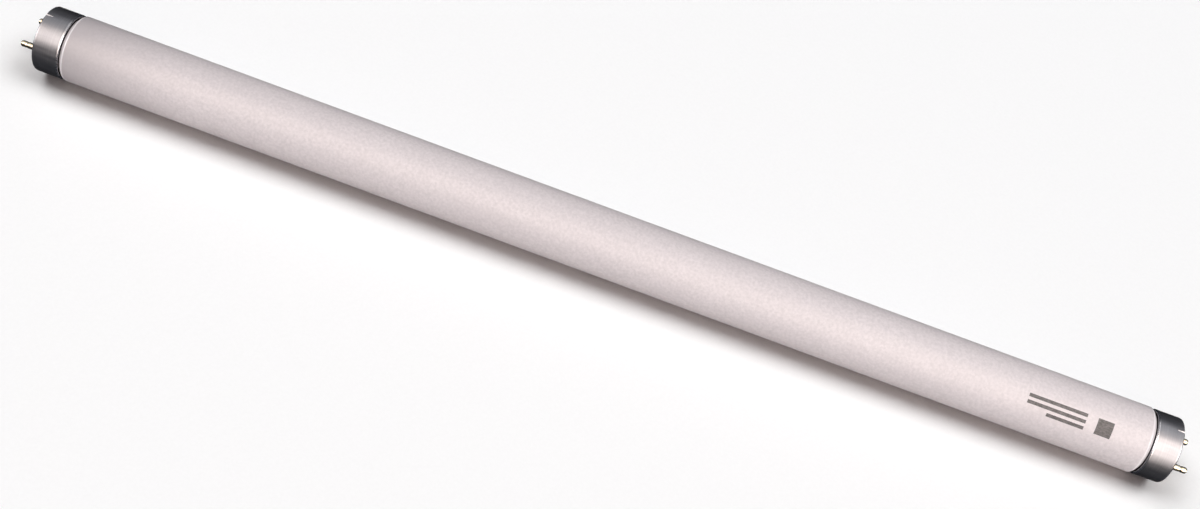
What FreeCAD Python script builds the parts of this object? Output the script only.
import FreeCAD, Part
import math
import os

import Sketcher
from FreeCAD import Placement, Rotation, Vector

# A straight fluorescent tube with a two-pin cap at each end.
# The tube lies along X with its middle at the origin, +Z is up, and all four pins lie in the XY plane.
# Each end is drawn in an end frame: its origin is the middle of the cap's face and +X points out of
# the tube, so an inset is a distance from the face towards the middle of the tube.

SIZES = {
    "face_to_face": (437.0, "from one cap's face to the other's"),
    "glass_diameter": (25.2, "outside of the glass"),
    "glass_wall": (0.7, "thickness of the glass"),
    "shoulder_length": (1.3, "length over which the glass draws in before the cap"),
    "shoulder_round": (0.9, "radius at the top of the shoulder"),
    "lip_gap": (0.15, "from the foot of the shoulder to the cap's lip"),
    "seal_inset": (4.6, "from the face to the sealed end of the glass"),
    "seal_thickness": (1.0, "width of the sealed end's ring"),
    "seal_depth": (0.8, "from the sealed end to where the flare starts"),
    "flare_inset": (11.0, "from the face to where the flare meets the stem"),
    "stem_diameter": (8.8, "outside of the stem"),
    "stem_wall": (0.8, "thickness of the stem and of its flare"),
    "well_inset": (20.0, "from the face to the bottom of the stem's well"),
    "press_length": (6.0, "solid glass between the well and the gas space"),
    "exhaust_diameter": (4.0, "sealed exhaust tube"),
    "exhaust_tip_diameter": (1.2, "flat end of the exhaust tube's tip"),
    "exhaust_tip_inset": (4.6, "from the face to the exhaust tube's tip"),
    "exhaust_tip_length": (1.4, "taper of the exhaust tube's tip"),
    "cap_step": (0.15, "from the outside of the glass down to the outside of the cap shell"),
    "cap_length": (10.0, "from the face to the lip"),
    "cap_wall": (0.35, "sheet of the cap shell"),
    "cap_bend": (0.25, "inside radius of the corner at the face"),
    "lip_bend": (0.15, "inside radius of the turned-in lip"),
    "lip_land": (0.1, "straight edge of the lip past its bend"),
    "face_opening": (19.0, "round opening in the shell's face"),
    "dent_depth": (0.65, "pressed dent, at the face"),
    "dent_end_depth": (0.45, "pressed dent, at its far end"),
    "dent_length": (2.8, "length of the pressed dent"),
    "cement_thickness": (0.95, "between the neck and the cap shell"),
    "cement_recess": (1.2, "from the lip to the cement"),
    "cement_length": (3.6, "length of the cement ring"),
    "insulator_thickness": (2.5, "plate behind the shell's face"),
    "insulator_clearance": (0.1, "around the plate and in its notches"),
    "boss_clearance": (0.05, "around the plate's boss in the opening"),
    "pin_spacing": (12.7, "between the axes of two pins"),
    "pin_diameter": (2.35, "contact pin"),
    "pin_length": (7.1, "from the face to the pin's tip"),
    "pin_nose": (0.7, "radius of the pin's nose"),
    "pin_bore": (0.7, "blind hole in the pin's head for the lead"),
    "pin_bore_depth": (2.6, "blind hole in the pin's head for the lead"),
    "pin_seat_diameter": (2.8, "thicker shank of the pin, in the plate"),
    "pin_hole_clearance": (0.03, "around the pin in the plate"),
    "pin_head_diameter": (4.0, "head behind the plate"),
    "pin_head_thickness": (0.6, "head behind the plate"),
    "crimp_inset": (2.4, "from the pin's tip to the middle of the crimp"),
    "crimp_width": (0.8, "ring that is crimped on to the lead"),
    "crimp_depth": (0.18, "ring that is crimped on to the lead"),
    "lead_diameter": (0.5, "lead wire"),
    "lead_spacing": (5.8, "between two leads at the stem"),
    "lead_bend": (1.5, "radius of the lead's bends"),
    "lead_slope": (45.0, "degrees between the lead's slanted run and the axis"),
    "lead_run_in": (0.6, "straight lead before it enters the pin"),
}

GLASS_RADIUS = "Sizes.glass_diameter / 2"
CAP_RADIUS = f"({GLASS_RADIUS} - Sizes.cap_step)"
CAP_INSIDE = f"({CAP_RADIUS} - Sizes.cap_wall)"
CAP_MIDWALL = f"({CAP_RADIUS} - Sizes.cap_wall / 2)"
NECK_RADIUS = f"({CAP_INSIDE} - Sizes.cement_thickness)"
LIP_OUTER_BEND = "(Sizes.lip_bend + Sizes.cap_wall)"
LIP_RADIUS = f"({CAP_RADIUS} - {LIP_OUTER_BEND} - Sizes.lip_land)"
SHOULDER_FOOT = "(Sizes.cap_length + Sizes.lip_gap)"
SHOULDER_TOP = f"({SHOULDER_FOOT} + Sizes.shoulder_length)"
SEAL_RADIUS = f"({NECK_RADIUS} - Sizes.seal_thickness)"
FLARE_TOP = "(Sizes.seal_inset + Sizes.seal_depth)"
STEM_RADIUS = "Sizes.stem_diameter / 2"
WELL_RADIUS = f"({STEM_RADIUS} - Sizes.stem_wall)"
EXHAUST_RADIUS = "Sizes.exhaust_diameter / 2"
EXHAUST_TAPER_INSET = "(Sizes.exhaust_tip_inset + Sizes.exhaust_tip_length)"
PRESS_INSET = "(Sizes.well_inset + Sizes.press_length)"
PLATE_BACK = "(Sizes.cap_wall + Sizes.insulator_thickness)"
PIN_BACK = f"({PLATE_BACK} + Sizes.pin_head_thickness)"
BORE_END = f"({PIN_BACK} - Sizes.pin_bore_depth)"
PIN_RADIUS = "Sizes.pin_diameter / 2"
PIN_SEAT = "Sizes.pin_seat_diameter / 2"

SEAL_ROUND_SHARE = 0.4
FULL_TURN = 360.0
HALF_TURN = 180.0
QUARTER_TURN = 90.0
MATCH = 1e-4

# A sketch's own numbers for its axes, and for the start, end and centre of a line, arc or circle.
H_AXIS = -1
V_AXIS = -2
START = 1
END = 2
CENTRE = 3
ORIGIN = (H_AXIS, START)

X_AXIS = Vector(1, 0, 0)
Y_AXIS = Vector(0, 1, 0)
Z_AXIS = Vector(0, 0, 1)

# Which way each end faces along X, and the half turn that takes the end frame there.
ENDS = {
    "left": (-1, Rotation(Z_AXIS, HALF_TURN)),
    "right": (1, Rotation()),
}

# For each pin: its end, its side along Y, and the half turn that takes a pin drawn at +Y there.
PINS = {
    "left_front": (-1, -1, Rotation(Z_AXIS, HALF_TURN)),
    "left_rear": (-1, 1, Rotation(Y_AXIS, HALF_TURN)),
    "right_front": (1, -1, Rotation(X_AXIS, HALF_TURN)),
    "right_rear": (1, 1, Rotation()),
}

# Which way each pressed dent lies along Z, and the turn that faces a half cone towards the axis.
DENTS = {
    "upper": (1, QUARTER_TURN),
    "lower": (-1, -QUARTER_TURN),
}

doc = FreeCAD.newDocument("fluorescent_tube")
sheet = doc.addObject("Spreadsheet::Sheet", "Sizes")
for row, (alias, (size, note)) in enumerate(SIZES.items(), start=1):
    sheet.set(f"A{row}", alias.replace("_", " "))
    sheet.set(f"B{row}", str(size))
    sheet.set(f"C{row}", note)
    sheet.setAlias(f"B{row}", alias)
doc.recompute()

sub_parts = []


# Helpers that draw and place

def value(expression):
    """What an expression on the sizes comes to now."""
    return float(sheet.evalExpression(expression))


def new_body(label):
    """An empty body that becomes one sub-part."""
    body = doc.addObject("PartDesign::Body", label)
    body.Label = label
    sub_parts.append(body)
    return body


def place(body, end, rotation, side=0):
    """Puts a body that is drawn in the end frame at an end of the tube, on a pin's axis if side is given."""
    body.Placement = Placement(Vector(), rotation)
    body.setExpression("Placement.Base.x", f"{end} * Sizes.face_to_face / 2")
    body.setExpression("Placement.Base.y", f"{side} * Sizes.pin_spacing / 2")


def new_sketch(body, plane, name):
    """An empty sketch on one of a body's own origin planes."""
    sketch = body.newObject("Sketcher::SketchObject", f"{body.Name}_{name}")
    support = next(feature for feature in body.Origin.OriginFeatures if feature.Role == plane)
    sketch.AttachmentSupport = [(support, "")]
    sketch.MapMode = "FlatFace"
    return sketch


def constrain(sketch, kind, *geometry):
    """Adds a constraint that has no size."""
    sketch.addConstraint(Sketcher.Constraint(kind, *geometry))


def bind(sketch, kind, geometry, expression, first_guess):
    """Adds a constraint of one kind and ties its size to an expression."""
    number = sketch.addConstraint(Sketcher.Constraint(kind, *geometry, first_guess))
    sketch.setExpression(f"Constraints[{number}]", expression)


def bind_point(sketch, line, end, x, y):
    """Ties the start, end or centre of a line or circle to a pair of expressions."""
    for kind, expression, axis in (("DistanceX", x, V_AXIS), ("DistanceY", y, H_AXIS)):
        if expression == "0":
            constrain(sketch, "PointOnObject", line, end, axis)
        else:
            bind(sketch, kind, (*ORIGIN, line, end), expression, value(expression))


def draw_outline(sketch, corners):
    """Draws a closed outline of straight lines through corners that are pairs of expressions."""
    points = [Vector(value(x), value(y), 0) for x, y in corners]
    following = points[1:] + points[:1]
    for start, end in zip(points, following):
        sketch.addGeometry(Part.LineSegment(start, end))
    for line, (x, y) in enumerate(corners):
        next_line = (line + 1) % len(corners)
        constrain(sketch, "Coincident", line, END, next_line, START)
        bind_point(sketch, line, START, x, y)


def draw_circle(sketch, x, radius):
    """Draws a circle whose centre is on the sketch's own X axis."""
    circle = sketch.addGeometry(Part.Circle(Vector(value(x), 0, 0), Z_AXIS, value(radius)))
    bind_point(sketch, circle, CENTRE, x, "0")
    bind(sketch, "Radius", (circle,), radius, value(radius))


def turn(body, kind, corners):
    """Turns an outline about X: a Revolution adds what it sweeps and a Groove cuts it away."""
    sketch = new_sketch(body, "XY_Plane", f"{kind.lower()}_section")
    draw_outline(sketch, corners)
    feature = body.newObject(f"PartDesign::{kind}", f"{body.Name}_{kind.lower()}")
    feature.Profile = sketch
    feature.ReferenceAxis = (sketch, ["H_Axis"])
    feature.Angle = FULL_TURN
    doc.recompute()


def is_ring(edge, x, radius):
    """Whether an edge is a full circle about X at one place and radius."""
    curve = edge.Curve
    if not isinstance(curve, Part.Circle):
        return False
    return abs(curve.Center.x - x) < MATCH and abs(curve.Radius - radius) < MATCH


def round_rings(body, name, radius, rings):
    """Rounds the edges of a turned body at places that are (x, radius) pairs of expressions."""
    base = body.Tip
    places = [(value(x), value(r)) for x, r in rings]
    edges = [
        f"Edge{number}"
        for number, edge in enumerate(base.Shape.Edges, start=1)
        if any(is_ring(edge, x, r) for x, r in places)
    ]
    fillet = body.newObject("PartDesign::Fillet", f"{body.Name}_{name}")
    fillet.Base = (base, edges)
    fillet.setExpression("Radius", radius)
    doc.recompute()


def from_face(corners):
    """Takes (inset, radius) pairs to the end frame's (x, radius)."""
    return [(f"-({inset})" if inset != "0" else "0", radius) for inset, radius in corners]


def add_dent_cone(body, kind, name, turn_about_axis, height, start_radius, end_radius, axis_z, angle):
    """Adds or cuts a cone that runs from the face towards the middle of the tube."""
    cone = body.newObject(f"PartDesign::{kind}Cone", f"{body.Name}_{name}")
    inward = Rotation(Y_AXIS, -QUARTER_TURN)
    cone.Placement = Placement(Vector(), inward.multiply(Rotation(Z_AXIS, turn_about_axis)))
    cone.setExpression("Placement.Base.z", axis_z)
    cone.setExpression("Radius1", start_radius)
    cone.setExpression("Radius2", end_radius)
    cone.setExpression("Height", height)
    cone.Angle = angle
    doc.recompute()


# The sub-parts

def make_glass_tube():
    """The sealed glass: necked ends, and in each a flared stem with the exhaust tube's sealed tip."""
    outside = [
        ("Sizes.exhaust_tip_inset", "0"),
        ("Sizes.exhaust_tip_inset", "Sizes.exhaust_tip_diameter / 2"),
        (EXHAUST_TAPER_INSET, EXHAUST_RADIUS),
        ("Sizes.well_inset", EXHAUST_RADIUS),
        ("Sizes.well_inset", WELL_RADIUS),
        ("Sizes.flare_inset", WELL_RADIUS),
        (FLARE_TOP, SEAL_RADIUS),
        ("Sizes.seal_inset", SEAL_RADIUS),
        ("Sizes.seal_inset", NECK_RADIUS),
        (SHOULDER_FOOT, NECK_RADIUS),
        (SHOULDER_TOP, GLASS_RADIUS),
    ]
    gas_space = [
        (PRESS_INSET, "0"),
        (PRESS_INSET, STEM_RADIUS),
        ("Sizes.flare_inset + Sizes.stem_wall", STEM_RADIUS),
        (f"{FLARE_TOP} + Sizes.stem_wall", f"{NECK_RADIUS} - Sizes.glass_wall"),
        (f"{SHOULDER_FOOT} + Sizes.glass_wall / 2", f"{NECK_RADIUS} - Sizes.glass_wall"),
        (f"{SHOULDER_TOP} + Sizes.glass_wall / 2", f"{GLASS_RADIUS} - Sizes.glass_wall"),
    ]

    def at_end(end, inset):
        return f"{end} * (Sizes.face_to_face / 2 - ({inset}))"

    def both_ends(corners):
        right = [(at_end(1, inset), radius) for inset, radius in corners]
        left = [(at_end(-1, inset), radius) for inset, radius in reversed(corners)]
        return right + left

    body = new_body("glass_tube")
    turn(body, "Revolution", both_ends(outside))
    round_rings(body, "shoulder_rounds", "Sizes.shoulder_round", both_ends([(SHOULDER_TOP, GLASS_RADIUS)]))
    seal_edges = [("Sizes.seal_inset", SEAL_RADIUS), ("Sizes.seal_inset", NECK_RADIUS)]
    seal_round = f"Sizes.seal_thickness * {SEAL_ROUND_SHARE}"
    round_rings(body, "seal_rounds", seal_round, both_ends(seal_edges))
    turn(body, "Groove", both_ends(gas_space))


def make_cap_shell(name, end, rotation):
    """A drawn aluminium cup with an open face, a turned-in lip and two dents that key the insulator."""
    body = new_body(f"{name}_cap_shell")
    opening = "Sizes.face_opening / 2"
    lip_back = "Sizes.cap_length - Sizes.cap_wall"
    corner_outside = ("0", CAP_RADIUS)
    corner_inside = ("Sizes.cap_wall", CAP_INSIDE)
    lip_corner = ("Sizes.cap_length", CAP_RADIUS)
    section = [
        ("0", opening),
        corner_outside,
        lip_corner,
        ("Sizes.cap_length", LIP_RADIUS),
        (lip_back, LIP_RADIUS),
        (lip_back, CAP_INSIDE),
        corner_inside,
        ("Sizes.cap_wall", opening),
    ]
    turn(body, "Revolution", from_face(section))
    round_rings(body, "face_bend", "Sizes.cap_bend", from_face([corner_inside]))
    round_rings(body, "lip_round", LIP_OUTER_BEND, from_face([lip_corner]))
    for dent, (side, facing) in DENTS.items():
        add_dent_cone(
            body, "Additive", f"{dent}_dent_back", facing, "Sizes.dent_length",
            "Sizes.dent_depth + Sizes.cap_wall / 2", "Sizes.dent_end_depth + Sizes.cap_wall / 2",
            f"{side} * {CAP_MIDWALL}", HALF_TURN,
        )
    # The corner is rounded once the dents' backs are in, so that they don't stand out of it.
    round_rings(body, "face_round", "Sizes.cap_bend + Sizes.cap_wall", from_face([corner_outside]))
    for dent, (side, facing) in DENTS.items():
        add_dent_cone(
            body, "Subtractive", f"{dent}_dent", facing, "Sizes.dent_length",
            "Sizes.dent_depth", "Sizes.dent_end_depth", f"{side} * {CAP_RADIUS}", FULL_TURN,
        )
    place(body, end, rotation)


def make_insulator(name, end, rotation):
    """A stepped plate behind the shell's face, with holes for the pins and notches for the dents."""
    body = new_body(f"{name}_insulator")
    boss = "Sizes.face_opening / 2 - Sizes.boss_clearance"
    rim = f"({CAP_INSIDE} - Sizes.insulator_clearance)"
    section = [
        ("0", "0"),
        ("0", boss),
        ("Sizes.cap_wall", boss),
        ("Sizes.cap_wall", f"{rim} - Sizes.cap_bend"),
        ("Sizes.cap_wall + Sizes.cap_bend", rim),
        (PLATE_BACK, rim),
        (PLATE_BACK, "0"),
    ]
    turn(body, "Revolution", from_face(section))

    holes = new_sketch(body, "YZ_Plane", "pin_holes_section")
    for side in (-1, 1):
        draw_circle(holes, f"{side} * Sizes.pin_spacing / 2", f"{PIN_SEAT} + Sizes.pin_hole_clearance")
    pocket = body.newObject("PartDesign::Pocket", f"{body.Name}_pin_holes")
    pocket.Profile = holes
    pocket.Type = "ThroughAll"
    doc.recompute()

    for dent, (side, facing) in DENTS.items():
        margin = "Sizes.cap_wall / 2 + Sizes.insulator_clearance"
        add_dent_cone(
            body, "Subtractive", f"{dent}_notch", facing, "Sizes.dent_length + Sizes.insulator_clearance",
            f"Sizes.dent_depth + {margin}", f"Sizes.dent_end_depth + {margin}",
            f"{side} * {CAP_MIDWALL}", FULL_TURN,
        )
    place(body, end, rotation)


def make_cement(name, end, rotation):
    """The ring of cement that holds the shell on the glass's neck."""
    body = new_body(f"{name}_cement")
    outer_end = "Sizes.cap_length - Sizes.cement_recess"
    inner_end = f"{outer_end} - Sizes.cement_length"
    section = [
        (outer_end, NECK_RADIUS),
        (outer_end, CAP_INSIDE),
        (inner_end, CAP_INSIDE),
        (inner_end, NECK_RADIUS),
    ]
    turn(body, "Revolution", from_face(section))
    place(body, end, rotation)


def make_pin(name, end, side, rotation):
    """A brass pin, drawn about its own axis: bored head, seat, shank, crimped ring and round nose."""
    body = new_body(f"{name}_pin")
    bore = "Sizes.pin_bore / 2"
    head = "Sizes.pin_head_diameter / 2"
    crimp = "(Sizes.pin_length - Sizes.crimp_inset)"
    nose = ("Sizes.pin_length", PIN_RADIUS)
    section = [
        (f"-{BORE_END}", "0"),
        (f"-{BORE_END}", bore),
        (f"-{PIN_BACK}", bore),
        (f"-{PIN_BACK}", head),
        (f"-{PLATE_BACK}", head),
        (f"-{PLATE_BACK}", PIN_SEAT),
        ("0", PIN_SEAT),
        ("0", PIN_RADIUS),
        (f"{crimp} - Sizes.crimp_width / 2", PIN_RADIUS),
        (crimp, f"{PIN_RADIUS} - Sizes.crimp_depth"),
        (f"{crimp} + Sizes.crimp_width / 2", PIN_RADIUS),
        nose,
        ("Sizes.pin_length", "0"),
    ]
    turn(body, "Revolution", section)
    round_rings(body, "nose", "Sizes.pin_nose", [nose])
    place(body, end, rotation, side)


def draw_lead_path(sketch):
    """Three straight runs joined by two tangent arcs: out of the stem, across, and into the pin's bore."""
    bend = value("Sizes.lead_bend")
    slope = math.radians(value("Sizes.lead_slope"))
    low = value("Sizes.lead_spacing / 2")
    high = value("Sizes.pin_spacing / 2")
    stem = Vector(-value("Sizes.well_inset"), low, 0)
    tip = Vector(-value(BORE_END), high, 0)
    across = Vector(bend * math.sin(slope), bend * (1 - math.cos(slope)), 0)
    last_bend_end = Vector(-value(f"{PIN_BACK} + Sizes.lead_run_in"), high, 0)
    slant_end = last_bend_end - across
    rise = slant_end.y - low - across.y
    slant_start = Vector(slant_end.x - rise / math.tan(slope), low + across.y, 0)
    first_bend_start = slant_start - across
    first_centre = first_bend_start + Vector(0, bend, 0)
    last_centre = last_bend_end - Vector(0, bend, 0)
    quarter = math.pi / 2

    first_run, first_arc, slant, last_arc, last_run = sketch.addGeometry([
        Part.LineSegment(stem, first_bend_start),
        Part.ArcOfCircle(Part.Circle(first_centre, Z_AXIS, bend), -quarter, slope - quarter),
        Part.LineSegment(slant_start, slant_end),
        Part.ArcOfCircle(Part.Circle(last_centre, Z_AXIS, bend), quarter, quarter + slope),
        Part.LineSegment(last_bend_end, tip),
    ])
    constrain(sketch, "Tangent", first_run, END, first_arc, START)
    constrain(sketch, "Tangent", first_arc, END, slant, START)
    constrain(sketch, "Tangent", slant, END, last_arc, END)
    constrain(sketch, "Tangent", last_arc, START, last_run, START)
    for run in (first_run, last_run):
        constrain(sketch, "Horizontal", run)
    for arc in (first_arc, last_arc):
        bind(sketch, "Radius", (arc,), "Sizes.lead_bend", bend)
    bind(sketch, "Angle", (slant,), "Sizes.lead_slope", slope)
    bind_point(sketch, first_run, START, "-Sizes.well_inset", "Sizes.lead_spacing / 2")
    bind_point(sketch, last_run, END, f"-{BORE_END}", "Sizes.pin_spacing / 2")
    run_in = f"-({PIN_BACK} + Sizes.lead_run_in)"
    bind(sketch, "DistanceX", (*ORIGIN, last_run, START), run_in, last_bend_end.x)


def make_lead(name, end, rotation):
    """A lead wire from the stem's press to the end of a pin's bore."""
    body = new_body(f"{name}_lead")
    path = new_sketch(body, "XY_Plane", "path")
    draw_lead_path(path)

    wire = new_sketch(body, "YZ_Plane", "wire_section")
    wire.setExpression("AttachmentOffset.Base.z", "-Sizes.well_inset")
    draw_circle(wire, "Sizes.lead_spacing / 2", "Sizes.lead_diameter / 2")
    doc.recompute()

    pipe = body.newObject("PartDesign::AdditivePipe", f"{body.Name}_pipe")
    pipe.Profile = wire
    pipe.Spine = (path, [f"Edge{number}" for number in range(1, path.GeometryCount + 1)])
    doc.recompute()
    place(body, end, rotation)


def check_document():
    """Stops if anything in the document failed or a sub-part has no sound solid."""
    failed = [item.Label for item in doc.Objects if "Invalid" in item.State or "Error" in item.State]
    unsound = [
        body.Label
        for body in sub_parts
        if body.Shape.isNull() or not body.Shape.isValid() or len(body.Shape.Solids) != 1
    ]
    if failed or unsound:
        raise RuntimeError(f"failed: {failed}, unsound: {unsound}")


make_glass_tube()
for end_name, (end_side, end_turn) in ENDS.items():
    make_cap_shell(end_name, end_side, end_turn)
    make_insulator(end_name, end_side, end_turn)
    make_cement(end_name, end_side, end_turn)
for pin_name, (pin_end, pin_side, pin_turn) in PINS.items():
    make_pin(pin_name, pin_end, pin_side, pin_turn)
    make_lead(pin_name, pin_end, pin_turn)
doc.recompute()
check_document()

os.makedirs("parts", exist_ok=True)
for body in sub_parts:
    body.Shape.exportStep(f"parts/{body.Label}.step")
    print(body.Label, round(body.Shape.Volume, 2))
